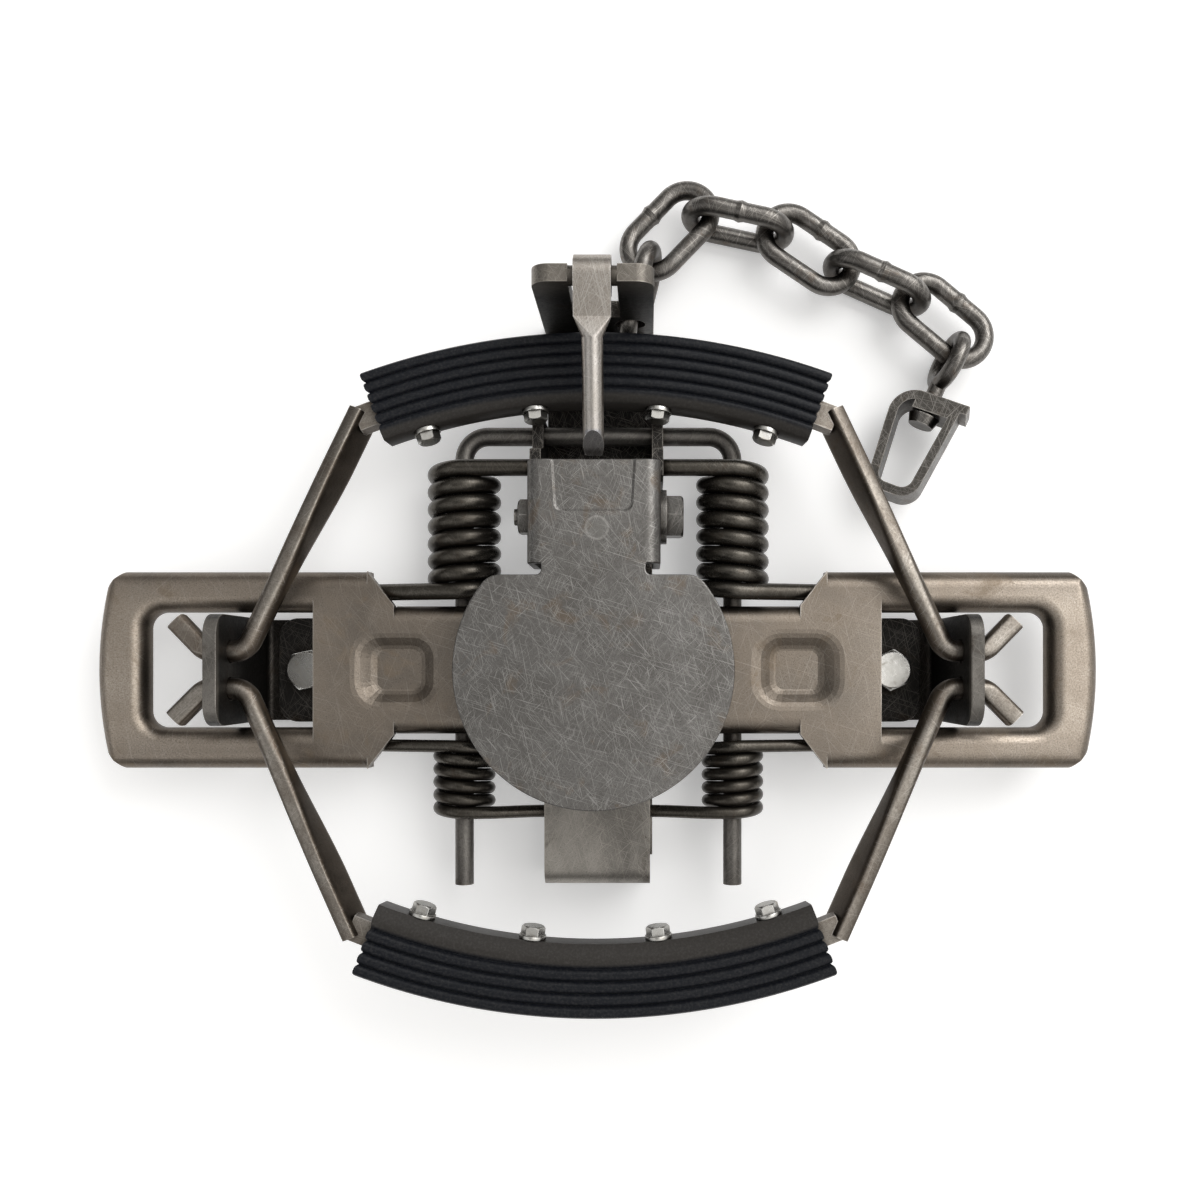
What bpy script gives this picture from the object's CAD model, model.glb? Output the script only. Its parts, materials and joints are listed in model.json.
import bpy
import bmesh
import json
import math
from mathutils import Matrix, Vector


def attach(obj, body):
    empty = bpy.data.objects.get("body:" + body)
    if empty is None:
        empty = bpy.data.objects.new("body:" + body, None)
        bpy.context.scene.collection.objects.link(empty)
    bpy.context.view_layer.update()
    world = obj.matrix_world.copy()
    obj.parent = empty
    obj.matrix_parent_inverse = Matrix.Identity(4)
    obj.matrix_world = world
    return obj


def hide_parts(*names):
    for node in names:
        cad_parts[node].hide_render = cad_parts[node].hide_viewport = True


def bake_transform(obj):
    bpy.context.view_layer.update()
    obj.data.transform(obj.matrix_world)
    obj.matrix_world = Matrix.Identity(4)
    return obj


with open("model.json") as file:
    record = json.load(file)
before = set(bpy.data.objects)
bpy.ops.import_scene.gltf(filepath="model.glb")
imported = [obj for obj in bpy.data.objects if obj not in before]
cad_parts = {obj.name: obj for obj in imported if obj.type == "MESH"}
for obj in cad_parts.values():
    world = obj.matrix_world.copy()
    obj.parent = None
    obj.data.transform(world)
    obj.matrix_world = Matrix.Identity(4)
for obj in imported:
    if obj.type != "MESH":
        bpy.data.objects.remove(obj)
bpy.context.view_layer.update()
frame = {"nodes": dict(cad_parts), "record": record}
nodes = frame["nodes"]
mm = 0.001
print("frame loaded,", len(nodes), "nodes")


# shader tree helpers

nodeGrid = (200, -180)


def addNode(tree, kind, spot, **settings):
    node = tree.nodes.new(kind)
    node.location = (spot[0] * nodeGrid[0], spot[1] * nodeGrid[1])
    for key, value in settings.items():
        setattr(node, key, value)
    return node


def feed(tree, socket, value):
    # a socket takes a plain value or another node's output
    if isinstance(value, bpy.types.NodeSocket):
        tree.links.new(value, socket)
    else:
        socket.default_value = value


def newGroup(name, outputs, **inputs):
    tree = bpy.data.node_groups.new(name, "ShaderNodeTree")
    for label, value in inputs.items():
        kind = "NodeSocketVector" if isinstance(value, tuple) else "NodeSocketFloat"
        tree.interface.new_socket(name=label, in_out="INPUT", socket_type=kind).default_value = value
    for label in outputs:
        tree.interface.new_socket(name=label, in_out="OUTPUT", socket_type="NodeSocketFloat")
    start = addNode(tree, "NodeGroupInput", (-6, 0))
    end = addNode(tree, "NodeGroupOutput", (6, 0))
    return tree, start.outputs, end.inputs


def mathNode(tree, spot, operation, a, b=None, clamp=False):
    node = addNode(tree, "ShaderNodeMath", spot, operation=operation, use_clamp=clamp)
    feed(tree, node.inputs[0], a)
    if b is not None:
        feed(tree, node.inputs[1], b)
    return node.outputs[0]


def vectorNode(tree, spot, operation, *given):
    node = addNode(tree, "ShaderNodeVectorMath", spot, operation=operation)
    for socket, value in zip(node.inputs, given):
        feed(tree, socket, value)
    return node.outputs["Value" if operation in ("DOT_PRODUCT", "LENGTH") else "Vector"]


def rangeNode(tree, spot, value, low, high, toLow=0.0, toHigh=1.0):
    node = addNode(tree, "ShaderNodeMapRange", spot, interpolation_type="SMOOTHSTEP")
    labels = ("Value", "From Min", "From Max", "To Min", "To Max")
    for label, given in zip(labels, (value, low, high, toLow, toHigh)):
        feed(tree, node.inputs[label], given)
    return node.outputs["Result"]


def noiseNode(tree, spot, where, **settings):
    node = addNode(tree, "ShaderNodeTexNoise", spot)
    feed(tree, node.inputs["Vector"], where)
    for label, value in settings.items():
        feed(tree, node.inputs[label], value)
    return node.outputs["Fac"]


def millimetres(tree, spot):
    # object coordinates are metres, and the patterns are written in millimetres
    place = addNode(tree, "ShaderNodeTexCoord", spot)
    scale = addNode(tree, "ShaderNodeVectorMath", (spot[0] + 1, spot[1]), operation="SCALE")
    scale.inputs["Scale"].default_value = 1 / mm
    tree.links.new(place.outputs["Object"], scale.inputs[0])
    return scale.outputs[0]


def upwards(tree, spot, kind):
    # the part of the normal that points up: the object's own normal or the world's, by the node's kind
    facing = addNode(tree, kind, spot)
    parts = addNode(tree, "ShaderNodeSeparateXYZ", (spot[0] + 1, spot[1]))
    tree.links.new(facing.outputs["Normal"], parts.inputs[0])
    return parts.outputs["Z"]


# shared effects

grainPattern = {"noise": {"Scale": 1.0, "Detail": 6.0, "Roughness": 0.66}, "middle": 0.5}


def buildGrain(make):
    tree, start, end = newGroup("metalGrain", ("Height", "Tone"), Stretch=(1.0, 1.0, 1.0), Contrast=1.0)
    where = vectorNode(tree, (-3, 0), "MULTIPLY", millimetres(tree, (-5, 1)), start["Stretch"])
    height = noiseNode(tree, (-2, 0), where, **make["noise"])
    off = mathNode(tree, (0, 1), "SUBTRACT", height, make["middle"])
    spread = mathNode(tree, (1, 1), "MULTIPLY", off, start["Contrast"])
    tone = mathNode(tree, (2, 1), "ADD", spread, make["middle"], clamp=True)
    tree.links.new(height, end["Height"])
    tree.links.new(tone, end["Tone"])
    return tree


blotchPattern = {"noise": {"Detail": 5.0, "Roughness": 0.6, "Distortion": 0.7}}


def buildBlotch(make):
    tree, start, end = newGroup("oilBlotch", ("Mask",), Size=10.0, Level=0.55, Edge=0.08)
    scale = mathNode(tree, (-4, 2), "DIVIDE", 1.0, start["Size"])
    spread = noiseNode(tree, (-2, 0), millimetres(tree, (-5, 1)), Scale=scale, **make["noise"])
    low = mathNode(tree, (0, 1), "SUBTRACT", start["Level"], start["Edge"])
    high = mathNode(tree, (0, 2), "ADD", start["Level"], start["Edge"])
    tree.links.new(rangeNode(tree, (2, 0), spread, low, high), end["Mask"])
    return tree


scratchPattern = {
    "turns": ((0.3, 0.0), (-0.75, 31.0), (1.35, 67.0), (0.85, 113.0), (-1.2, 171.0)), "shift": (1.0, 0.7, 0.3),
    "noise": {"Scale": 1.0, "Detail": 0.0}, "softness": 0.06, "uprightBelow": 0.35, "levelAbove": 0.8,
}


def buildScratches(make):
    tree, start, end = newGroup("hairScratches", ("Mask",), Length=14.0, Width=0.16, Amount=0.5, Rarity=0.66)
    where = millimetres(tree, (-6, 3))
    along = mathNode(tree, (-5, 4), "DIVIDE", 1.0, start["Length"])
    across = mathNode(tree, (-5, 5), "DIVIDE", 1.0, start["Width"])
    stretch = addNode(tree, "ShaderNodeCombineXYZ", (-4, 4))
    for label, scale in (("X", along), ("Y", across), ("Z", along)):
        tree.links.new(scale, stretch.inputs[label])
    sure = mathNode(tree, (-4, 6), "ADD", start["Rarity"], make["softness"])
    total = 0.0
    # the specks of a noise pulled out long are straight hairs, here in five directions
    for row, (turn, shift) in enumerate(make["turns"]):
        rotate = addNode(tree, "ShaderNodeVectorRotate", (-3, row * 2), rotation_type="Z_AXIS")
        rotate.inputs["Angle"].default_value = turn
        tree.links.new(where, rotate.inputs["Vector"])
        moved = tuple(shift * part for part in make["shift"])
        pulled = vectorNode(tree, (-2, row * 2), "MULTIPLY_ADD", rotate.outputs[0], stretch.outputs[0], moved)
        line = noiseNode(tree, (-1, row * 2), pulled, **make["noise"])
        hair = rangeNode(tree, (1, row * 2), line, start["Rarity"], sure)
        total = mathNode(tree, (3, row * 2), "MAXIMUM", hair, total)
    # the pattern lies in plan, so upright faces are left without it
    upright = mathNode(tree, (3, 12), "ABSOLUTE", upwards(tree, (1, 12), "ShaderNodeTexCoord"))
    level = rangeNode(tree, (4, 12), upright, make["uprightBelow"], make["levelAbove"])
    shown = mathNode(tree, (4, 1), "MULTIPLY", total, level)
    tree.links.new(mathNode(tree, (5, 0), "MULTIPLY", shown, start["Amount"]), end["Mask"])
    return tree


wearPattern = {
    "samples": 6, "bentFrom": 0.03, "bentTo": 0.24,
    "noise": {"Detail": 4.0}, "patchFrom": 0.32, "patchTo": 0.62, "patchLeast": 0.25,
}


def buildWear(make):
    tree, start, end = newGroup("edgeWear", ("Mask",), Radius=0.0006, Amount=0.7, Patch=6.0)
    rounded = addNode(tree, "ShaderNodeBevel", (-4, 0), samples=make["samples"])
    tree.links.new(start["Radius"], rounded.inputs["Radius"])
    flat = addNode(tree, "ShaderNodeNewGeometry", (-4, 2))
    same = vectorNode(tree, (-3, 0), "DOT_PRODUCT", rounded.outputs[0], flat.outputs["Normal"])
    bent = mathNode(tree, (-2, 0), "SUBTRACT", 1.0, same)
    edge = rangeNode(tree, (0, 0), bent, make["bentFrom"], make["bentTo"])
    scale = mathNode(tree, (-4, 5), "DIVIDE", 1.0, start["Patch"])
    patches = noiseNode(tree, (-2, 3), millimetres(tree, (-5, 4)), Scale=scale, **make["noise"])
    rubbed = rangeNode(tree, (0, 3), patches, make["patchFrom"], make["patchTo"], make["patchLeast"])
    both = mathNode(tree, (2, 0), "MULTIPLY", edge, rubbed)
    tree.links.new(mathNode(tree, (3, 0), "MULTIPLY", both, start["Amount"], clamp=True), end["Mask"])
    return tree


crevicePattern = {"samples": 6, "deepBelow": 0.35, "openAbove": 0.95}


def buildCrevice(make):
    tree, start, end = newGroup("creviceDirt", ("Mask",), Reach=0.005, Amount=0.8)
    hollow = addNode(tree, "ShaderNodeAmbientOcclusion", (-3, 0), samples=make["samples"])
    tree.links.new(start["Reach"], hollow.inputs["Distance"])
    deep = rangeNode(tree, (0, 0), hollow.outputs["AO"], make["deepBelow"], make["openAbove"], 1.0, 0.0)
    tree.links.new(mathNode(tree, (2, 0), "MULTIPLY", deep, start["Amount"], clamp=True), end["Mask"])
    return tree


dustPattern = {
    "noise": {"Detail": 8.0, "Roughness": 0.7}, "speckFrom": 0.42, "speckTo": 0.72,
    "bareBelow": -0.1, "fullAbove": 0.9, "least": 0.25,
}


def buildDust(make):
    tree, start, end = newGroup("settledDust", ("Mask",), Amount=0.4, Size=3.0)
    raised = upwards(tree, (-4, 2), "ShaderNodeNewGeometry")
    level = rangeNode(tree, (-2, 2), raised, make["bareBelow"], make["fullAbove"], make["least"])
    scale = mathNode(tree, (-4, 1), "DIVIDE", 1.0, start["Size"])
    spread = noiseNode(tree, (-2, 0), millimetres(tree, (-5, 0)), Scale=scale, **make["noise"])
    specks = rangeNode(tree, (0, 0), spread, make["speckFrom"], make["speckTo"])
    both = mathNode(tree, (2, 0), "MULTIPLY", specks, level)
    tree.links.new(mathNode(tree, (3, 0), "MULTIPLY", both, start["Amount"], clamp=True), end["Mask"])
    return tree


def buildZone():
    # full within one distance of a middle and gone beyond another, with a weight for each axis
    tree, start, end = newGroup("zoneFade", ("Mask",),
        Weights=(1.0, 1.0, 1.0), Middle=(0.0, 0.0, 0.0), Full=10.0, Gone=20.0)
    off = vectorNode(tree, (-3, 0), "SUBTRACT", millimetres(tree, (-5, 0)), start["Middle"])
    weighed = vectorNode(tree, (-2, 0), "MULTIPLY", off, start["Weights"])
    away = vectorNode(tree, (-1, 0), "LENGTH", weighed)
    tree.links.new(rangeNode(tree, (1, 0), away, start["Full"], start["Gone"], 1.0, 0.0), end["Mask"])
    return tree


def buildSides():
    # faces that look sideways or down in the piece's own frame
    tree, start, end = newGroup("sideFaces", ("Mask",), Bare=0.8, Covered=0.3)
    raised = upwards(tree, (-4, 0), "ShaderNodeTexCoord")
    tree.links.new(rangeNode(tree, (-1, 0), raised, start["Covered"], start["Bare"], 1.0, 0.0), end["Mask"])
    return tree


effects = {
    "grain": buildGrain(grainPattern), "blotch": buildBlotch(blotchPattern),
    "scratches": buildScratches(scratchPattern), "zone": buildZone(), "sides": buildSides(),
    "wear": buildWear(wearPattern), "crevice": buildCrevice(crevicePattern), "dust": buildDust(dustPattern),
}
print("shared effects built:", ", ".join(effects))


# finishes

def useEffect(tree, name, row, **values):
    node = addNode(tree, "ShaderNodeGroup", (-8, row), node_tree=effects[name])
    for label, value in values.items():
        node.inputs[label].default_value = value
    return node.outputs


def mixColour(tree, spot, factor, under, over):
    node = addNode(tree, "ShaderNodeMix", spot, data_type="RGBA")
    tree.links.new(factor, node.inputs["Factor"])
    for label, value in (("A", under), ("B", over)):
        socket = [s for s in node.inputs if s.name == label and s.type == "RGBA"][0]
        feed(tree, socket, (*value, 1.0) if isinstance(value, tuple) else value)
    return [s for s in node.outputs if s.type == "RGBA"][0]


def layerColours(tree, colour, layers):
    for column, (mask, tint) in enumerate(layers):
        colour = mixColour(tree, (-5 + column / 2, column % 2), mask, colour, tint)
    return colour


def addShares(tree, row, value, changes):
    # adds each mask to the value, by its own share
    for column, (mask, change) in enumerate(changes):
        part = mathNode(tree, (-5 + column, row + 1), "MULTIPLY", mask, change)
        value = mathNode(tree, (-4 + column, row), "ADD", value, part)
    return value


def addBump(tree, height, look):
    bump = addNode(tree, "ShaderNodeBump", (-1, 6))
    bump.inputs["Strength"].default_value = look["bump"]
    bump.inputs["Distance"].default_value = look["bumpDepth"]
    tree.links.new(height, bump.inputs["Height"])
    return bump.outputs[0]


def newMaterial(name):
    material = bpy.data.materials.new(name)
    material.use_nodes = True
    tree = material.node_tree
    return material, tree, tree.nodes["Principled BSDF"].inputs


def metalFinish(name, look):
    material, tree, shader = newMaterial(name)
    shader["Metallic"].default_value = look["metallic"]
    grain = useEffect(tree, "grain", 0, Stretch=look["grainStretch"], Contrast=look["grainContrast"])
    pits = useEffect(tree, "grain", 1, Stretch=look["pitStretch"], Contrast=look["pitContrast"])["Tone"]
    stains = useEffect(tree, "blotch", 2,
        Size=look["stainSize"], Level=look["stainLevel"], Edge=look["stainEdge"])["Mask"]
    patina = useEffect(tree, "blotch", 3,
        Size=look["patinaSize"], Level=look["patinaLevel"], Edge=look["patinaEdge"])["Mask"]
    hairs = useEffect(tree, "scratches", 4, Length=look["scratchLength"], Width=look["scratchWidth"],
        Amount=look["scratchAmount"], Rarity=look["scratchRarity"])["Mask"]
    wear = useEffect(tree, "wear", 5,
        Radius=look["wearRadius"], Amount=look["wearAmount"], Patch=look["wearPatch"])["Mask"]
    dirt = useEffect(tree, "crevice", 6, Reach=look["dirtReach"], Amount=look["dirtAmount"])["Mask"]
    dark = rangeNode(tree, (-6, 1), pits, look["pitFull"], look["pitGone"], look["pitAmount"], 0.0)

    def share(row, mask, amount):
        return mathNode(tree, (-6, row), "MULTIPLY", mask, amount)

    layers = []
    for row, (zone, tint, amount) in enumerate(look["zones"], 8):
        layers.append((share(row, useEffect(tree, "zone", row, **zone)["Mask"], amount), tint))
    if look["sideAmount"] > 0:
        sides = useEffect(tree, "sides", 12, Bare=look["sideBare"], Covered=look["sideCovered"])["Mask"]
        layers.append((share(12, sides, look["sideAmount"]), look["sideColour"]))
    layers += [
        (share(3, patina, look["patinaAmount"]), look["patina"]), (dark, look["dirt"]),
        (share(2, stains, look["stainAmount"]), look["stain"]),
        (hairs, look["bright"]), (wear, look["bright"]), (dirt, look["dirt"])]
    base = mixColour(tree, (-6, 0), grain["Tone"], look["shade"], look["colour"])
    tree.links.new(layerColours(tree, base, layers), shader["Base Color"])
    smooth, coarse = look["rough"]
    rough = rangeNode(tree, (-5, 3), grain["Tone"], 0.0, 1.0, coarse, smooth)
    rough = addShares(tree, 3, rough,
        [(stains, look["stainRough"]), (patina, look["patinaRough"]), (wear, look["wearRough"])])
    tree.links.new(rough, shader["Roughness"])
    relief = addShares(tree, 6, grain["Height"], [(hairs, look["scratchRelief"]), (dark, look["pitRelief"])])
    tree.links.new(addBump(tree, relief, look), shader["Normal"])
    return material


plainMetal = {
    "metallic": 1.0, "colour": (0.46, 0.395, 0.33), "shade": (0.33, 0.28, 0.23),
    "patina": (0.27, 0.225, 0.18), "patinaSize": 26.0, "patinaLevel": 0.5, "patinaEdge": 0.2, "patinaAmount": 0.55,
    "patinaRough": 0.07,
    "stain": (0.2, 0.155, 0.11), "stainSize": 9.0, "stainLevel": 0.63, "stainEdge": 0.07, "stainAmount": 0.5,
    "stainRough": 0.1,
    "bright": (0.76, 0.72, 0.67), "dirt": (0.035, 0.028, 0.022),
    "grainStretch": (1.1, 1.1, 1.1), "grainContrast": 1.4,
    "pitStretch": (3.2, 3.2, 3.2), "pitContrast": 3.0, "pitFull": 0.05, "pitGone": 0.4, "pitAmount": 0.45,
    "pitRelief": -0.8,
    "scratchLength": 14.0, "scratchWidth": 0.14, "scratchAmount": 0.3, "scratchRarity": 0.7, "scratchRelief": -0.5,
    "wearRadius": 0.0006, "wearAmount": 0.75, "wearPatch": 6.0, "wearRough": -0.1,
    "dirtReach": 0.004, "dirtAmount": 0.75, "zones": [],
    "sideAmount": 0.0, "sideBare": 0.97, "sideCovered": 0.72, "sideColour": (0.1, 0.08, 0.06),
    "rough": (0.3, 0.44), "bump": 0.14, "bumpDepth": 0.0003,
}
panSteel = {**plainMetal,
    "colour": (0.235, 0.228, 0.218), "shade": (0.125, 0.12, 0.114),
    "patina": (0.105, 0.099, 0.091), "patinaSize": 13.0, "patinaAmount": 0.6,
    "stain": (0.16, 0.115, 0.075), "stainSize": 8.0, "stainLevel": 0.62, "stainAmount": 0.45,
    "bright": (0.58, 0.57, 0.55),
    "scratchAmount": 0.42, "scratchLength": 6.0, "scratchWidth": 0.11, "scratchRarity": 0.715,
    "pitAmount": 0.3, "grainStretch": (1.6, 1.6, 1.6), "grainContrast": 1.5}
darkSteel = {**plainMetal,
    "metallic": 0.85, "colour": (0.036, 0.034, 0.032), "shade": (0.018, 0.017, 0.016),
    "patina": (0.014, 0.013, 0.012), "stain": (0.045, 0.032, 0.022), "bright": (0.42, 0.39, 0.35),
    "scratchAmount": 0.2, "wearAmount": 0.85, "rough": (0.34, 0.5)}

# parts of a piece with a tint of their own
leverNeck = {"Weights": (1.0, 0.0, 0.0), "Full": 56.0, "Gone": 86.0}
leverRails = {"Weights": (0.0, 1.0, 0.0), "Full": 23.0, "Gone": 13.5}
lipTop = {"Weights": (0.0, 1.0, 0.8), "Middle": (0.0, -40.0, 20.0), "Full": 13.0, "Gone": 16.0}
panRing = {"Weights": (1.0, 1.0, 0.0), "Middle": (0.8, 32.3, 0.0), "Full": 2.6, "Gone": 3.0}
panRingHollow = {**panRing, "Full": 2.1, "Gone": 2.5}
dogHead = {"Weights": (0.0, 1.0, 0.0), "Middle": (0.0, 92.0, 0.0), "Full": 13.0, "Gone": 19.0}
dogTip = {"Weights": (0.0, 1.0, 0.0), "Middle": (0.0, 49.0, 0.0), "Full": 4.6, "Gone": 5.4}
bracketTop = {"Weights": (0.0, 0.6, 1.0), "Middle": (0.0, 88.0, 47.0), "Full": 3.4, "Gone": 14.0}
postTop = {"Weights": (0.0, 0.0, 1.0), "Middle": (0.0, 0.0, 38.0), "Full": 0.8, "Gone": 2.2}

finishes = {
    "lever_steel": metalFinish("satinLeverSteel", {**plainMetal,
        "colour": (0.54, 0.475, 0.405), "shade": (0.26, 0.22, 0.18),
        "grainStretch": (2.4, 2.4, 2.4), "grainContrast": 2.3, "scratchAmount": 0.14, "scratchRarity": 0.74,
        "sideAmount": 0.85, "sideBare": 0.99, "sideCovered": 0.7, "sideColour": (0.075, 0.062, 0.05),
        "dirtReach": 0.007,
        "zones": [(leverNeck, (0.15, 0.132, 0.113), 0.85), (leverRails, (0.17, 0.146, 0.122), 0.6)]}),
    "jaw_steel": metalFinish("drawnJawBar", {**plainMetal,
        "colour": (0.38, 0.352, 0.315), "shade": (0.2, 0.18, 0.155),
        "patina": (0.15, 0.124, 0.1), "patinaAmount": 0.75, "patinaSize": 14.0,
        "stain": (0.14, 0.1, 0.07), "stainSize": 6.0, "stainAmount": 0.35,
        "grainStretch": (1.4, 1.4, 1.4), "grainContrast": 1.9, "scratchAmount": 0.2, "scratchRarity": 0.74,
        "sideAmount": 0.95, "sideBare": 0.98, "sideCovered": 0.8, "sideColour": (0.07, 0.056, 0.043)}),
    "pan_steel": metalFinish("scuffedPanSteel", {**panSteel,
        "zones": [(panRing, (0.4, 0.39, 0.37), 0.6), (panRingHollow, (0.19, 0.185, 0.175), 0.8)]}),
    "dog_steel": metalFinish("brightDogSteel", {**plainMetal,
        "colour": (0.62, 0.595, 0.565), "shade": (0.46, 0.435, 0.41), "patina": (0.38, 0.345, 0.31),
        "stain": (0.3, 0.25, 0.2), "stainAmount": 0.3, "bright": (0.88, 0.86, 0.83),
        "grainStretch": (2.0, 0.2, 2.0), "rough": (0.22, 0.34),
        "sideAmount": 0.9, "sideBare": 0.9, "sideCovered": 0.45, "sideColour": (0.13, 0.105, 0.08),
        "zones": [(dogHead, (0.31, 0.275, 0.235), 0.75), (dogTip, (0.34, 0.37, 0.44), 0.9)]}),
    "chain_steel": metalFinish("greyChainSteel", {**plainMetal,
        "colour": (0.21, 0.2, 0.188), "shade": (0.125, 0.118, 0.109),
        "patina": (0.08, 0.073, 0.066), "patinaSize": 9.0, "stain": (0.13, 0.1, 0.075), "stainSize": 4.0,
        "rough": (0.24, 0.36), "pitAmount": 0.3}),
    "dark_steel": metalFinish("blackenedSteel", darkSteel),
    "spring_steel": metalFinish("oiledSpringWire", {**darkSteel,
        "metallic": 0.9, "colour": (0.1, 0.092, 0.08), "shade": (0.055, 0.05, 0.042),
        "patina": (0.04, 0.034, 0.027), "bright": (0.4, 0.37, 0.33), "stainSize": 4.0,
        "scratchAmount": 0.1, "wearAmount": 0.0, "rough": (0.2, 0.3)}),
    "zinc": metalFinish("platedZinc", {**plainMetal,
        "colour": (0.66, 0.655, 0.635), "shade": (0.5, 0.492, 0.47),
        "patina": (0.45, 0.43, 0.385), "patinaSize": 6.0, "patinaAmount": 0.4,
        "stain": (0.34, 0.3, 0.24), "stainSize": 3.0, "bright": (0.76, 0.76, 0.75), "wearAmount": 0.25,
        "grainStretch": (1.2, 1.2, 1.2), "grainContrast": 0.9, "bump": 0.05,
        "pitAmount": 0.08, "rough": (0.2, 0.3), "dirtAmount": 0.9,
        "sideAmount": 0.7, "sideBare": 0.75, "sideCovered": 0.1, "sideColour": (0.2, 0.195, 0.182)}),
}

# the posts are rubbed bare along their tops, and the pan's bolt and nut are duller than the other bolts
postFinish = metalFinish("postSteel", {**darkSteel, "zones": [(postTop, (0.24, 0.225, 0.205), 0.85)]})
panBoltFinish = metalFinish("dullPanBolt", {**plainMetal,
    "colour": (0.36, 0.352, 0.338), "shade": (0.22, 0.214, 0.204),
    "patina": (0.14, 0.132, 0.12), "patinaSize": 5.0, "stain": (0.1, 0.085, 0.068), "stainSize": 3.0,
    "grainContrast": 1.0, "dirtAmount": 0.95, "rough": (0.22, 0.34),
    "sideAmount": 0.7, "sideBare": 0.8, "sideCovered": 0.2, "sideColour": (0.11, 0.106, 0.098)})
# the frame's folded lip and bracket top are rubbed bare, and the rest of it keeps its dark skin
ownFinish = {
    "left_jaw_post": postFinish, "right_jaw_post": postFinish, "pan_bolt": panBoltFinish, "pan_nut": panBoltFinish,
    "u_rod": metalFinish("bareRodSteel", {**darkSteel,
        "metallic": 0.95, "colour": (0.2, 0.19, 0.178), "shade": (0.12, 0.113, 0.104),
        "patina": (0.08, 0.073, 0.065)}),
    "swivel_box": metalFinish("swivelStrip", {**plainMetal,
        "colour": (0.16, 0.151, 0.139), "shade": (0.075, 0.07, 0.064),
        "patina": (0.06, 0.055, 0.049), "patinaSize": 9.0, "stain": (0.12, 0.095, 0.07), "stainSize": 4.0,
        "wearAmount": 0.95, "grainContrast": 1.8, "rough": (0.26, 0.4),
        "sideAmount": 0.9, "sideBare": 0.9, "sideCovered": 0.6, "sideColour": (0.075, 0.067, 0.058)}),
    "cross_frame": metalFinish("frameSteel", {**darkSteel,
        "scratchAmount": 0.4, "scratchLength": 6.0,
        "zones": [(lipTop, (0.33, 0.31, 0.28), 0.9), (bracketTop, (0.3, 0.272, 0.236), 0.85)]}),
}


def rubberFinish(name, look):
    material, tree, shader = newMaterial(name)
    shader["Specular IOR Level"].default_value = look["specular"]
    grain = useEffect(tree, "grain", 0, Stretch=look["grainStretch"], Contrast=look["grainContrast"])
    dust = useEffect(tree, "dust", 1, Amount=look["dustAmount"], Size=look["dustSize"])["Mask"]
    rub = useEffect(tree, "wear", 2,
        Radius=look["rubRadius"], Amount=look["rubAmount"], Patch=look["rubPatch"])["Mask"]
    flank = useEffect(tree, "zone", 3, **look["flank"])["Mask"]
    flank = mathNode(tree, (-6, 3), "MULTIPLY", flank, look["flankAmount"])
    base = mixColour(tree, (-6, 0), grain["Tone"], look["shade"], look["colour"])
    layers = [(flank, look["flankColour"]), (rub, look["rubbed"]), (dust, look["dust"])]
    tree.links.new(layerColours(tree, base, layers), shader["Base Color"])
    tree.links.new(rangeNode(tree, (-3, 3), dust, 0.0, look["dustFull"], *look["rough"]), shader["Roughness"])
    tree.links.new(addBump(tree, grain["Height"], look), shader["Normal"])
    return material


padLook = {
    "colour": (0.0065, 0.008, 0.012), "shade": (0.003, 0.0038, 0.006),
    "grainStretch": (1.4, 1.4, 1.4), "grainContrast": 1.2,
    "dust": (0.13, 0.125, 0.12), "dustAmount": 0.16, "dustSize": 0.6, "dustFull": 0.6,
    "rubbed": (0.042, 0.044, 0.05), "rubRadius": 0.0004, "rubAmount": 0.5, "rubPatch": 9.0,
    "flankColour": (0.036, 0.032, 0.028), "flankAmount": 0.8, "flankFade": 1.2,
    "flankArc": {"upper": (-78.6, 145.4), "lower": (78.6, 148.2)},
    "specular": 0.2, "rough": (0.38, 0.6), "bump": 0.16, "bumpDepth": 0.00015,
}
padFinish = {}
for jaw, (middleY, edge) in padLook["flankArc"].items():
    flank = {"Weights": (1.0, 1.0, 0.0), "Middle": (0.0, middleY, 0.0),
             "Full": edge - padLook["flankFade"], "Gone": edge}
    padFinish[jaw] = rubberFinish(f"{jaw}PadRubber", {**padLook, "flank": flank})
finishes["pad_rubber"] = padFinish["upper"]
print("finishes built:", ", ".join(finishes))


# carried-over nodes: each takes its own finish or that of its slot, and its edges are broken

slotOfNode = {part["node"]: part["material_slot"] for part in frame["record"]["subparts"]}
edgeBreak = {
    "base_bar": 0.5, "cross_frame": 0.45, "left_jaw_post": 0.55, "right_jaw_post": 0.55, "left_lever": 0.4,
    "right_lever": 0.4, "dog": 0.3, "swivel_box": 0.4, "post_bolts": 0.25, "center_rivet": 0.3, "pan_bolt": 0.25,
    "pan_nut": 0.25, "upper_pad_screws": 0.3, "lower_pad_screws": 0.3, "swivel_eye": 0.2,
}
edgeSettings = {"weldWithin": 1e-6, "flatBelow": 0.8, "segments": 2, "sharpAbove": 28}


def breakEdges(node, width, make):
    weld = node.modifiers.new("joinSeams", "WELD")
    weld.merge_threshold = make["weldWithin"]
    flatten = node.modifiers.new("mergeFlats", "DECIMATE")
    flatten.decimate_type = "DISSOLVE"
    flatten.angle_limit = math.radians(make["flatBelow"])
    bevel = node.modifiers.new("brokenEdge", "BEVEL")
    bevel.width = width * mm
    bevel.segments = make["segments"]
    bevel.limit_method = "ANGLE"
    bevel.angle_limit = math.radians(make["sharpAbove"])
    bevel.use_clamp_overlap = True
    node.modifiers.new("faceShade", "WEIGHTED_NORMAL").keep_sharp = True


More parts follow.
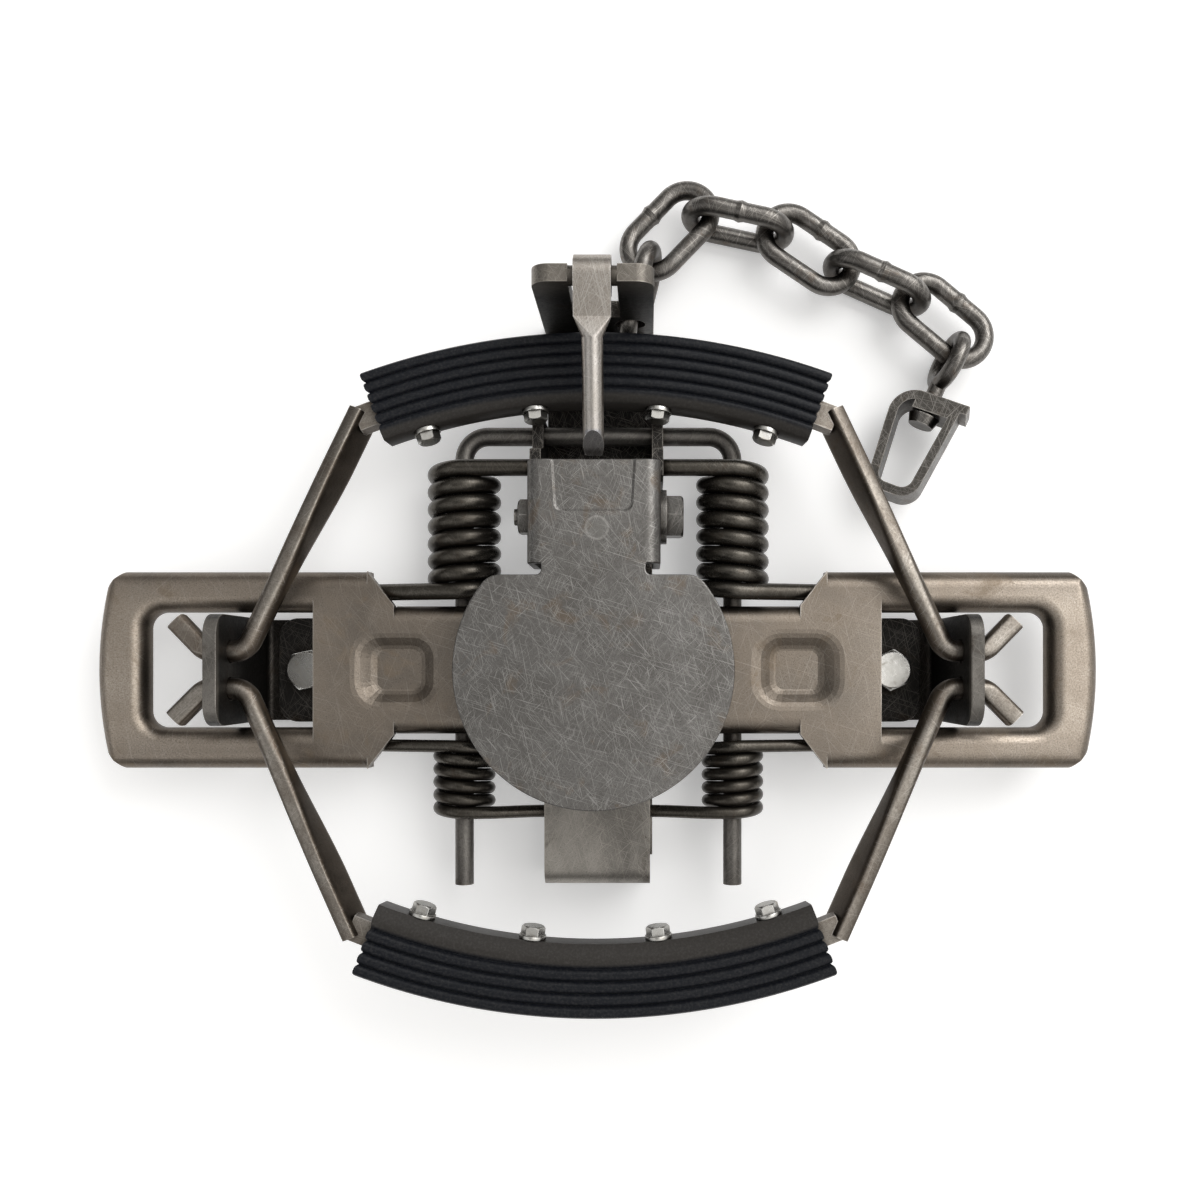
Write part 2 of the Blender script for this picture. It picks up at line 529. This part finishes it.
for name, node in nodes.items():
    node.data.materials.clear()
    node.data.materials.append(ownFinish.get(name, finishes[slotOfNode[name]]))
    if name in edgeBreak:
        breakEdges(node, edgeBreak[name], edgeSettings)
print("nodes finished")


# meshes swept along a path

def meshObject(name, vertices, faces, finish):
    mesh = bpy.data.meshes.new(name)
    mesh.from_pydata([v * mm for v in vertices], [], faces)
    mesh.materials.append(finish)
    mesh.shade_smooth()
    piece = bpy.data.objects.new(name, mesh)
    bpy.context.scene.collection.objects.link(piece)
    return piece


def ringFaces(rings, sides, base=0):
    # quads between neighbouring rings of a sweep, and a cap at each end
    faces = []
    for i in range(rings - 1):
        for k in range(sides):
            a, b = base + i * sides + k, base + i * sides + (k + 1) % sides
            faces.append((a, a + sides, b + sides, b))
    last = base + (rings - 1) * sides
    return faces + [tuple(range(base, base + sides)), tuple(reversed(range(last, last + sides)))]


def turnedOver(faces):
    return [tuple(reversed(face)) for face in faces]


def tangentAt(path, i):
    return (path[min(i + 1, len(path) - 1)] - path[max(i - 1, 0)]).normalized()


def tubeAlong(path, radius, sides):
    vertices = []
    side = Vector((0, 1, 0.001))
    for i, point in enumerate(path):
        tangent = tangentAt(path, i)
        side = (side - side.dot(tangent) * tangent).normalized()
        up = tangent.cross(side)
        for k in range(sides):
            a = 2 * math.pi * k / sides
            vertices.append(point + radius * (math.cos(a) * side + math.sin(a) * up))
    return vertices, ringFaces(len(path), sides)


def arcPoints(x, y, radius, fromDegrees, toDegrees, steps):
    turns = [math.radians(fromDegrees + (toDegrees - fromDegrees) * k / steps) for k in range(steps + 1)]
    return [(x + radius * math.cos(a), y + radius * math.sin(a)) for a in turns]


def markSharp(work, degrees):
    for edge in work.edges:
        edge.smooth = len(edge.link_faces) == 2 and edge.calc_face_angle(0.0) < math.radians(degrees)


def smoothByAngle(piece, degrees):
    work = bmesh.new()
    work.from_mesh(piece.data)
    bmesh.ops.recalc_face_normals(work, faces=work.faces)
    markSharp(work, degrees)
    work.to_mesh(piece.data)
    work.free()


# springs: lever leg, coil and base leg of one wire, wound round the lever pivot

springs = {
    "pivotX": 33.5, "pivotZ": 13.0, "neckWidth": 31.5, "coilGap": 1.6, "leverLegX": 64.2,
    "ringsPerTurn": 40, "legSteps": 8, "sides": 18,
    "upper": {"coil": 17.9, "wire": 3.8, "shown": 4.15, "turns": 7, "pitch": 4.3, "way": 1,
              "baseLeg": [(27.5, 0.0), (18.1, 0.0), (12.8, 0.0)]},
    "lower": {"coil": 15.1, "wire": 2.75, "shown": 3.1, "turns": 5, "pitch": 3.25, "way": -1,
              "baseLeg": [(29.5, 0.0), (25.5, -0.6), (16.9, -3.42), (12.9, -4.05), (4.0, -4.05)]},
}


def springPath(make):
    pivotX, pivotZ, legX = springs["pivotX"], springs["pivotZ"], springs["leverLegX"]
    radius = (make["coil"] - make["wire"]) / 2
    startY = springs["neckWidth"] / 2 + springs["coilGap"] + make["wire"] / 2
    leave = math.asin(radius / (legX - pivotX))
    steps = make["turns"] * springs["ringsPerTurn"]
    sweep = 2 * math.pi * make["turns"] + leave
    coil = []
    for i in range(steps + 1):
        a = math.pi / 2 - leave + sweep * i / steps
        y = make["way"] * (startY + i * make["turns"] * make["pitch"] / steps)
        coil.append(Vector((pivotX + radius * math.cos(a), y, pivotZ + radius * math.sin(a))))
    tip = Vector((legX, make["way"] * startY, pivotZ))
    leg = [tip.lerp(coil[0], t / springs["legSteps"]) for t in range(springs["legSteps"])]
    last = coil[-1]
    base = [Vector((x, last.y, last.z + drop)) for x, drop in make["baseLeg"]]
    return leg + coil + base, startY, abs(last.y)


for level in ("upper", "lower"):
    make = springs[level]
    path, nearY, farY = springPath(make)
    for side, name in ((1, f"{level}_right_spring"), (-1, f"{level}_left_spring")):
        points = [Vector((side * p.x, p.y, p.z)) for p in path]
        vertices, faces = tubeAlong(points, make["shown"] / 2, springs["sides"])
        if side * make["way"] < 0:
            faces = turnedOver(faces)
        wire = meshObject(f"{name}_wire", vertices, faces, finishes["spring_steel"])
        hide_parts(name)
        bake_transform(wire)
print("springs wound")


# jaw pads: one ribbed rubber section bent along the jaw's arc

jaws = {"pivotY": 4.4, "pivotZ": 29.0, "upperTilt": -6.0, "arcY": -83.0, "barR": 150.4}
pads = {
    "outerR": 160.0, "width": 17.2, "gripHigh": 3.9, "thick": 8.3, "halfAngle": 20.5, "corner": 0.9,
    "barWidth": 6.2, "slotTop": 1.4, "endBulge": 0.7, "steps": 110, "cornerSteps": 4, "smoothBelow": 50,
    "flankDrop": 2.0, "flankCurve": 6, "flankSteps": 10, "ribDeep": 1.0, "ribCurve": 3.2, "ribSteps": 12,
    "upper": {"ribs": 5, "flank": 3.6}, "lower": {"ribs": 4, "flank": 5.6},
}


def jawPlace(jaw):
    if jaw == "upper":
        tilt = Matrix.Rotation(math.radians(jaws["upperTilt"]), 4, "X")
        return Matrix.Translation((0, jaws["pivotY"], jaws["pivotZ"])) @ tilt
    return Matrix.Translation((0, -jaws["pivotY"], jaws["pivotZ"])) @ Matrix.Diagonal((1, -1, 1, 1))


def onArc(radius, angle, height):
    return Vector((radius * math.sin(angle), jaws["arcY"] + radius * math.cos(angle), height))


def padSection(make):
    # radius, height and how far the point stands out of the pad's end
    inner, outer = pads["outerR"] - pads["width"], pads["outerR"]
    low, high = pads["gripHigh"] - pads["thick"], pads["gripHigh"]
    corner, cornerSteps = pads["corner"], pads["cornerSteps"]
    points = [(*p, 0.0) for p in arcPoints(inner + corner, low + corner, corner, 270, 180, cornerSteps)]
    for k in range(pads["flankSteps"] + 1):   # smooth inner flank
        t = k / pads["flankSteps"]
        sunk = t ** pads["flankCurve"]
        drop = pads["flankDrop"] * (1 - t) ** 2 + pads["ribDeep"] * sunk
        points.append((inner + t * make["flank"], high - drop, 1 - sunk))
    pitch = (pads["width"] - make["flank"]) / make["ribs"]
    for rib in range(make["ribs"]):   # round-topped ribs with a groove between two of them
        for k in range(1, pads["ribSteps"] + 1):
            t = k / pads["ribSteps"]
            sunk = (2 * abs(t - 0.5)) ** pads["ribCurve"]
            points.append((inner + make["flank"] + (rib + t) * pitch, high - pads["ribDeep"] * sunk, 1 - sunk))
    points += [(*p, 0.0) for p in arcPoints(outer - corner, low + corner, corner, 0, -90, cornerSteps)]
    # the slot that takes the jaw bar
    near, far = jaws["barR"] - pads["barWidth"] / 2, jaws["barR"] + pads["barWidth"] / 2
    slot = [(far, low), (far, pads["slotTop"]), (near, pads["slotTop"]), (near, low)]
    return points + [(*p, 0.0) for p in slot]


def padMesh(jaw):
    section = padSection(pads[jaw])
    place = jawPlace(jaw)
    vertices = []
    steps = pads["steps"]
    for i in range(steps + 1):
        middle = math.radians(-pads["halfAngle"] + 2 * pads["halfAngle"] * i / steps)
        end = {0: -1, steps: 1}.get(i, 0)
        for r, h, bulge in section:
            vertices.append(place @ onArc(r, middle + end * bulge * pads["endBulge"] / r, h))
    faces = ringFaces(steps + 1, len(section))
    return vertices, turnedOver(faces) if jaw == "lower" else faces


for jaw in ("upper", "lower"):
    vertices, faces = padMesh(jaw)
    pad = meshObject(f"{jaw}_pad_rubber", vertices, faces, padFinish[jaw])
    smoothByAngle(pad, pads["smoothBelow"])
    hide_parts(f"{jaw}_pad")
    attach(pad, f"{jaw}_jaw")
print("pads moulded")


# jaw bars: a rod bent through each post hole, forged flat and twisted towards the pad, and a bow under the pad

jawRod = {
    "footX": 82.4, "armX": 57.56, "armY": 55.95, "armPast": 2.4, "armSteps": 40, "top": 3.0,
    "stubX": 91.8, "stubReach": 7.07, "stubBend": 4.0, "footBend": 4.4, "bendSteps": 8, "sides": 32,
    "pin": {"wide": 5.1, "high": 5.1, "square": 2.0}, "stub": {"wide": 4.8, "high": 4.8, "square": 4.0},
    "armEnd": {"wide": 4.0, "high": 8.2, "square": 6.0}, "stubBefore": 1.0, "stubOver": 3.0,
    "twist": 20.0, "twistFrom": 0.1, "twistTo": 0.8, "smoothBelow": 40,
    "bowHalf": 22.5, "bowWidth": 6.0, "bowLow": -2.7, "bowHigh": 1.3, "bowSteps": 90,
}


def bentPath(points, bends, steps):
    # straight runs joined by arcs
    path = [points[0]]
    for before, corner, after, radius in zip(points, points[1:], points[2:], bends):
        into, out = (corner - before).normalized(), (after - corner).normalized()
        turn = into.angle(out)
        start = corner - into * radius * math.tan(turn / 2)
        inward = (out - into * out.dot(into)).normalized()
        for k in range(steps + 1):
            a = turn * k / steps
            path.append(start + radius * (math.sin(a) * into + (1 - math.cos(a)) * inward))
    return path + [points[-1]]


def rodPath(make):
    foot, armTop = Vector((make["footX"], 0, 0)), Vector((make["armX"], make["armY"], 0))
    end = armTop + (armTop - foot).normalized() * make["armPast"]
    stub = Vector((make["stubX"], 0, 0))
    tip = stub + Vector((make["stubReach"], make["stubReach"], 0))
    path = bentPath([tip, stub, foot, end], (make["stubBend"], make["footBend"]), make["bendSteps"])
    steps = make["armSteps"]
    return path[:-1] + [path[-2].lerp(end, k / steps) for k in range(1, steps + 1)]


def mixSection(a, b, t):
    return {key: a[key] + (b[key] - a[key]) * t for key in a}


def eased(t):
    t = min(max(t, 0.0), 1.0)
    return t * t * (3 - 2 * t)


def rodSection(make, x, way):
    # outside the post a squared stub, in the post a round pin, and on the arm the flattened bar
    stubFrom = make["stubX"] - make["stubBefore"]
    if x > stubFrom:
        return mixSection(make["pin"], make["stub"], eased((x - stubFrom) / make["stubOver"])), 0.0
    grown = eased((way - make["twistFrom"]) / (make["twistTo"] - make["twistFrom"]))
    return mixSection(make["pin"], make["armEnd"], grown), grown


def rodRing(make, point, along, way):
    section, grown = rodSection(make, point.x, way)
    inward = Vector((-along.y, along.x, 0))
    roll = math.radians(make["twist"]) * grown
    half, tall, power = section["wide"] / 2, section["high"] / 2, 2 / section["square"]
    lift = grown * (make["top"] - tall * math.cos(roll) - half * math.sin(roll))
    ring = []
    for k in range(make["sides"]):
        a = 2 * math.pi * k / make["sides"]
        p = half * math.copysign(abs(math.cos(a)) ** power, math.cos(a))
        q = tall * math.copysign(abs(math.sin(a)) ** power, math.sin(a))
        spot = point + inward * (p * math.cos(roll) - q * math.sin(roll))
        spot.z += p * math.sin(roll) + q * math.cos(roll) + lift
        ring.append(spot)
    return ring


def jawMesh(jaw, make):
    place = jawPlace(jaw)
    path = rodPath(make)
    arm = []
    for i, point in enumerate(path):
        way = point.y / path[-1].y if point.x < make["footX"] else 0.0
        arm += rodRing(make, point, tangentAt(path, i), way)
    vertices, faces = [], []
    for mirror in (1, -1):
        faces += ringFaces(len(path), make["sides"], len(vertices))
        vertices += [place @ Vector((mirror * spot.x, spot.y, spot.z)) for spot in arm]
    near, far = jaws["barR"] - make["bowWidth"] / 2, jaws["barR"] + make["bowWidth"] / 2
    low, high, steps = make["bowLow"], make["bowHigh"], make["bowSteps"]
    section = [(near, low), (far, low), (far, high), (near, high)]
    faces += ringFaces(steps + 1, len(section), len(vertices))
    for i in range(steps + 1):
        a = math.radians(make["bowHalf"] * (2 * i / steps - 1))
        vertices += [place @ onArc(r, a, h) for r, h in section]
    return vertices, faces


for jaw in ("upper", "lower"):
    vertices, faces = jawMesh(jaw, jawRod)
    rod = meshObject(f"{jaw}_jaw_rod", vertices, faces, finishes["jaw_steel"])
    smoothByAngle(rod, jawRod["smoothBelow"])
    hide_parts(f"{jaw}_jaw")
    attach(rod, f"{jaw}_jaw")
print("jaw bars bent")


# trip pan: one bent sheet with a round plate, a coined neck and two side flanges

panSheet = {
    "radius": 32.1, "top": 39.0, "thick": 2.0, "flatY": 21.7, "corner": 5.0, "footHalf": 11.9, "notch": 1.2,
    "neckHalf": 15.3, "bend": 3.0, "neckY": 24.3, "flangeY": 42.7, "catchY": 48.0,
    "frontLow": 34.0, "flangeLow": 19.4, "flangeCut": 3.0,
    "coinTop": 9.7, "coinFoot": 9.1, "coinY": 36.0, "coinCorner": 2.0, "coinEdge": 0.6, "coinDeep": 0.3,
    "roundSteps": 60, "cornerSteps": 7, "notchSteps": 5, "coinSteps": 5, "bendSteps": 8, "sameDigits": 4,
    "smoothBelow": 20, "edge": 0.4, "edgeSegments": 3, "edgeAbove": 40,
}


def mirrored(points):
    return [(-x, y) for x, y in reversed(points)]


def atHeight(points, z, side=1):
    return [(side * x, y, z) for x, y in points]


def plateOutline(make):
    middleY = make["flatY"] - make["corner"]
    middleX = math.sqrt((make["radius"] - make["corner"]) ** 2 - middleY ** 2)
    lean = math.degrees(math.atan2(middleY, middleX))
    notchX, notchY = make["footHalf"] + make["notch"], make["flatY"] + make["notch"]
    right = arcPoints(0, 0, make["radius"], -90, lean, make["roundSteps"])
    right += arcPoints(middleX, middleY, make["corner"], lean, 90, make["cornerSteps"])[1:]
    right += arcPoints(notchX, notchY, make["notch"], 270, 180, make["notchSteps"])
    right.append((make["footHalf"], make["neckY"]))
    return right + mirrored(right[1:])


def coinOutline(make, inset):
    cornerX, cornerY = make["coinFoot"] - make["coinCorner"], make["coinY"] + make["coinCorner"]
    corner = arcPoints(cornerX, cornerY, make["coinCorner"] - inset, 0, -90, make["coinSteps"])
    return [(make["coinTop"] - inset, make["catchY"])] + corner


def panMesh(make):
    work = bmesh.new()
    spots = {}

    def vertex(spot):
        key = tuple(round(part, make["sameDigits"]) for part in spot)
        if key not in spots:
            spots[key] = work.verts.new([part * mm for part in spot])
        return spots[key]

    def face(points):
        work.faces.new([vertex(p) for p in points])

    top, foot = make["top"], make["footHalf"]
    rows = [make["neckY"], make["flangeY"], make["catchY"]]
    face(atHeight(plateOutline(make), top))
    # coined panel at the catch edge, let in by a short slope
    low = top - make["coinDeep"]
    outer, inner = coinOutline(make, 0), coinOutline(make, make["coinEdge"])
    for side in (1, -1):
        face(atHeight([(foot, y) for y in rows] + outer, top, side))
        for a, b, c, d in zip(outer, outer[1:], inner[1:], inner):
            face(atHeight([a, b], top, side) + atHeight([c, d], low, side))
    ends, innerEnds = outer[-1:] + mirrored(outer[-1:]), mirrored(inner[-1:]) + inner[-1:]
    face(atHeight([(-foot, rows[0]), (foot, rows[0])] + ends, top))
    face(atHeight(ends, top) + atHeight(innerEnds, low))
    face(atHeight(inner + mirrored(inner), low))
    # rolled sides, then the flanges that carry the bolt
    neck, front, under, cut = make["neckHalf"], make["frontLow"], make["flangeLow"], make["flangeCut"]
    roll = arcPoints(neck - make["bend"], top - make["bend"], make["bend"], 90, 0, make["bendSteps"])
    profile = [(foot, top)] + roll + [(neck, front)]
    flange = [(rows[0], front), (rows[1], front), (rows[1], under + cut), (rows[1] - cut, under),
              (rows[0] + cut, under), (rows[0], under + cut)]
    for side in (1, -1):
        for near, far in zip(rows, rows[1:]):
            for (x0, z0), (x1, z1) in zip(profile, profile[1:]):
                face([(side * x0, near, z0), (side * x0, far, z0), (side * x1, far, z1), (side * x1, near, z1)])
        face([(side * neck, y, z) for y, z in flange])
    bmesh.ops.recalc_face_normals(work, faces=work.faces)
    work.faces.ensure_lookup_table()
    if work.faces[0].normal.z < 0:
        bmesh.ops.reverse_faces(work, faces=work.faces)
    markSharp(work, make["smoothBelow"])
    mesh = bpy.data.meshes.new("pan_sheet")
    for part in work.faces:
        part.smooth = True
    work.to_mesh(mesh)
    work.free()
    mesh.materials.append(finishes["pan_steel"])
    return mesh


panPiece = bpy.data.objects.new("pan_sheet", panMesh(panSheet))
bpy.context.scene.collection.objects.link(panPiece)
sheet = panPiece.modifiers.new("sheet", "SOLIDIFY")
sheet.thickness = panSheet["thick"] * mm
sheet.offset = -1.0
sheet.use_even_offset = True
roundEdge = panPiece.modifiers.new("roundEdge", "BEVEL")
roundEdge.width = panSheet["edge"] * mm
roundEdge.segments = panSheet["edgeSegments"]
roundEdge.limit_method = "ANGLE"
roundEdge.angle_limit = math.radians(panSheet["edgeAbove"])
panPiece.modifiers.new("faceShade", "WEIGHTED_NORMAL").keep_sharp = True
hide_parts("pan")
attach(panPiece, "pan")
print("pan pressed")


# stage: floor, light and camera

stage = {
    "floorHalf": 3.0, "floorColour": (0.9, 0.9, 0.9), "floorLift": 0.3,
    "cameraAt": (0.0124, 0.0, 0.29), "lens": 33.2, "sensor": 36.0, "shift": (-0.04, 0.0583), "clipStart": 0.01,
    "lamps": {
        "keyLamp": {"at": (0.5, 0.55, 0.7), "power": 4.0, "size": 0.7},
        "fillLamp": {"at": (-0.7, -0.2, 0.6), "power": 1.2, "size": 0.9},
    },
    "skyColour": (1.0, 0.985, 0.96), "skyLow": 0.14, "skyHigh": 0.9, "skyLowZ": 0.05, "skyHighZ": 0.9,
    "skyRight": 0.9, "skyFar": 0.15, "skyLeast": 0.04,
    "figure": {"towards": (-0.27, 0.0, 0.963), "full": 0.985, "gone": 0.93, "gain": -0.72},
    "window": {"towards": (0.42, 0.03, 0.907), "full": 0.985, "gone": 0.94, "gain": 0.7},
}


def whiteFloor():
    # a matte floor that the camera and the reflections see a little brighter than it lights the part
    material = bpy.data.materials.new("paleFloor")
    material.use_nodes = True
    tree = material.node_tree
    tree.nodes.remove(tree.nodes["Principled BSDF"])
    matte = addNode(tree, "ShaderNodeBsdfDiffuse", (-2, 0))
    matte.inputs["Color"].default_value = (*stage["floorColour"], 1.0)
    glow = addNode(tree, "ShaderNodeEmission", (-2, 1))
    path = addNode(tree, "ShaderNodeLightPath", (-5, 1))
    seen = mathNode(tree, (-4, 1), "MAXIMUM", path.outputs["Is Camera Ray"], path.outputs["Is Glossy Ray"])
    seen = mathNode(tree, (-3, 1), "MAXIMUM", seen, path.outputs["Is Transmission Ray"])
    tree.links.new(mathNode(tree, (-2.5, 2), "MULTIPLY", seen, stage["floorLift"]), glow.inputs["Strength"])
    both = addNode(tree, "ShaderNodeAddShader", (-1, 0))
    tree.links.new(matte.outputs[0], both.inputs[0])
    tree.links.new(glow.outputs[0], both.inputs[1])
    tree.links.new(both.outputs[0], tree.nodes["Material Output"].inputs["Surface"])
    return material


half = stage["floorHalf"]
floorCorners = [(-half, -half, 0), (half, -half, 0), (half, half, 0), (-half, half, 0)]
floorMesh = bpy.data.meshes.new("floor")
floorMesh.from_pydata(floorCorners, [], [(0, 1, 2, 3)])
floorMesh.materials.append(whiteFloor())
floor = bpy.data.objects.new("floor", floorMesh)
bpy.context.scene.collection.objects.link(floor)

for name, make in stage["lamps"].items():
    lamp = bpy.data.lights.new(name, "AREA")
    lamp.energy = make["power"]
    lamp.shape = "DISK"
    lamp.size = make["size"]
    holder = bpy.data.objects.new(name, lamp)
    holder.location = make["at"]
    holder.rotation_euler = (-Vector(make["at"])).to_track_quat("-Z", "Y").to_euler()
    bpy.context.scene.collection.objects.link(holder)

world = bpy.data.worlds.new("softRoom")
world.use_nodes = True
bpy.context.scene.world = world
sky = world.node_tree
background = sky.nodes["Background"].inputs
place = addNode(sky, "ShaderNodeTexCoord", (-6, 0)).outputs["Generated"]
ways = addNode(sky, "ShaderNodeSeparateXYZ", (-5, 0))
sky.links.new(place, ways.inputs[0])
# bright overhead, dim towards the horizon, and brighter on the right
high = rangeNode(sky, (-4, 2), ways.outputs["Z"],
    stage["skyLowZ"], stage["skyHighZ"], stage["skyLow"], stage["skyHigh"])
right = mathNode(sky, (-4, 0), "MULTIPLY", ways.outputs["X"], stage["skyRight"])
far = mathNode(sky, (-4, 1), "MULTIPLY", ways.outputs["Y"], stage["skyFar"])
tilt = mathNode(sky, (-2.5, 1), "ADD", mathNode(sky, (-3, 0), "ADD", right, far), 1.0)
level = mathNode(sky, (-2, 0), "MULTIPLY", high, tilt)
# someone dark stands left of the middle, and a window is on the right
for row, spot in enumerate((stage["figure"], stage["window"]), 4):
    towards = vectorNode(sky, (-4, row), "DOT_PRODUCT", place, spot["towards"])
    gain = rangeNode(sky, (-3, row), towards, spot["gone"], spot["full"], 1.0, 1.0 + spot["gain"])
    level = mathNode(sky, (-1.5, row), "MULTIPLY", level, gain)
sky.links.new(mathNode(sky, (-1, 0), "MAXIMUM", level, stage["skyLeast"]), background["Strength"])
background["Color"].default_value = (*stage["skyColour"], 1.0)

camera = bpy.data.cameras.new("photoCamera")
camera.sensor_width = stage["sensor"]
camera.lens = stage["lens"]
camera.shift_x, camera.shift_y = stage["shift"]
camera.clip_start = stage["clipStart"]
cameraObject = bpy.data.objects.new("photoCamera", camera)
cameraObject.location = stage["cameraAt"]
bpy.context.scene.collection.objects.link(cameraObject)
bpy.context.scene.camera = cameraObject
bpy.context.scene.view_settings.view_transform = "Standard"
print("stage set")
